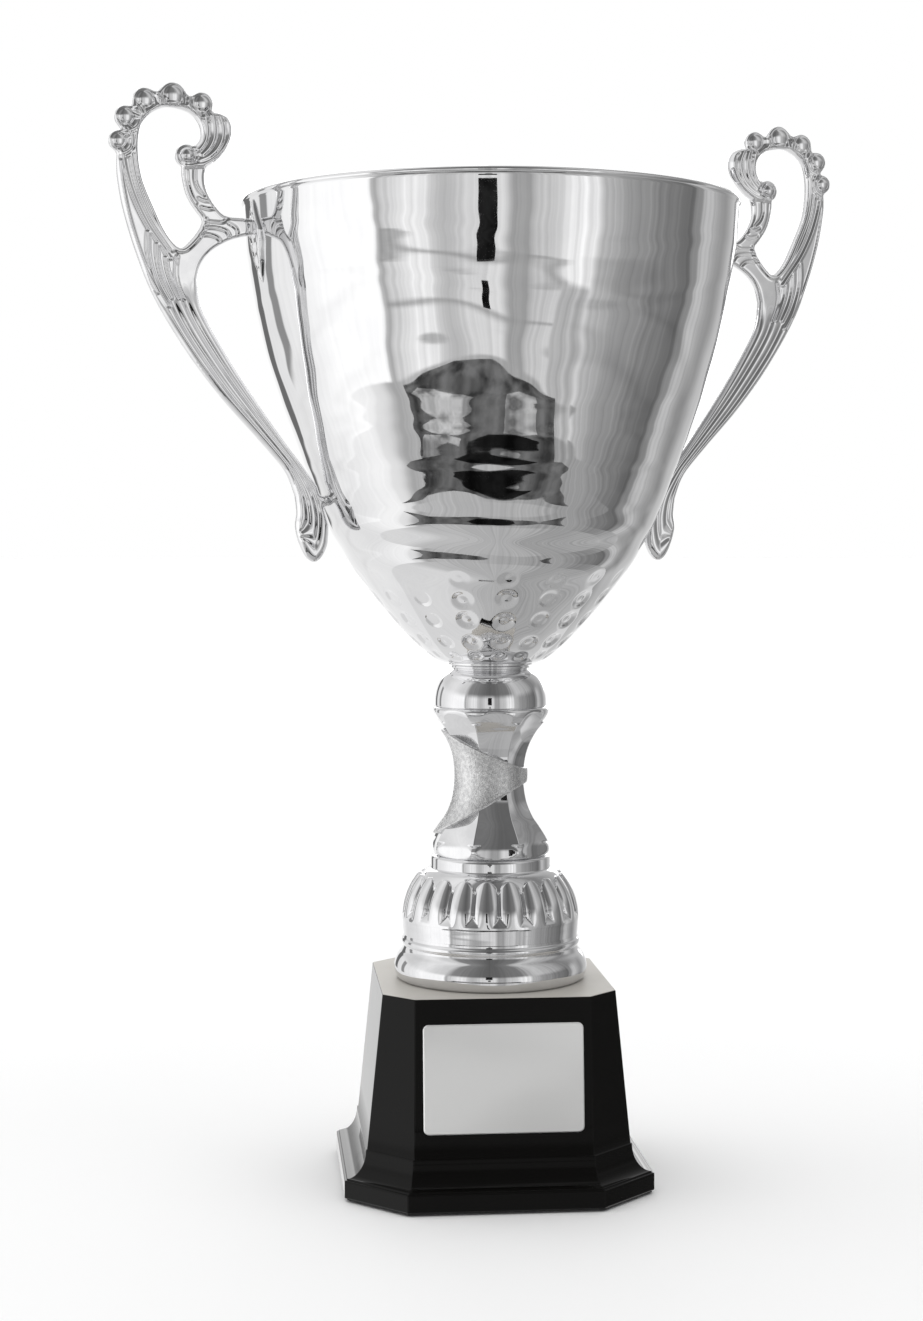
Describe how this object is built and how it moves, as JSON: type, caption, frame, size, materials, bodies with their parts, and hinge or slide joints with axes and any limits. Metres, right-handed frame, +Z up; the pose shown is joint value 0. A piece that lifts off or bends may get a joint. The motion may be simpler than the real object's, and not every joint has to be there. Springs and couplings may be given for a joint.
{
  "type": "two-handled presentation cup",
  "caption": "Tall spun presentation cup with scrolled cast handles, a waisted plated stem and a hollow weighted black plinth with a blank plate.",
  "frame": {"origin": "on the surface it stands on, on the cup's axis", "axes": "+Z up along the cup's axis; -Y out of the plinth's plate side; the handles lie near the X axis, turned 16.5 degrees from +X towards +Y"},
  "size_m": [0.3014, 0.2, 0.4333],
  "materials": {
    "bowl_chrome": "mirror-polished plating on spun sheet, faint spinning rings, small hammered facets low down",
    "cast_chrome": "bright plating over a cast relief, softly blurred",
    "plated_plastic": "bright plating over a moulded plastic core",
    "frosted_plating": "sparkling frosted plating with bright edges",
    "gloss_black": "high-gloss black moulding",
    "ballast_iron": "rough as-cast",
    "zinc_steel": "bright zinc-plated steel",
    "spring_steel": "dark oiled spring steel",
    "satin_plate": "satin silver sheet with a bright bevelled edge, blank",
    "fibre": "red vulcanised fibre",
    "tape": "white foam tape",
    "felt": "short black felt"
  },
  "bodies": {
    "root": {"cup_bowl": "bowl_chrome", "handle_left": "cast_chrome", "handle_right": "cast_chrome", "handle_screws": "zinc_steel", "handle_washers": "fibre", "bowl_washer": "zinc_steel", "rod_top_nut": "zinc_steel", "tie_rod": "zinc_steel", "seat_ring": "bowl_chrome", "stem_knop": "plated_plastic", "stem_column": "plated_plastic", "stem_sash": "frosted_plating", "stem_foot": "plated_plastic", "plinth_shell": "gloss_black", "plinth_weight": "ballast_iron", "rod_washer": "zinc_steel", "rod_spring_washer": "spring_steel", "rod_bottom_nut": "zinc_steel", "name_plate": "satin_plate", "plate_tape": "tape", "base_felt": "felt"}
  },
  "joints": []
}
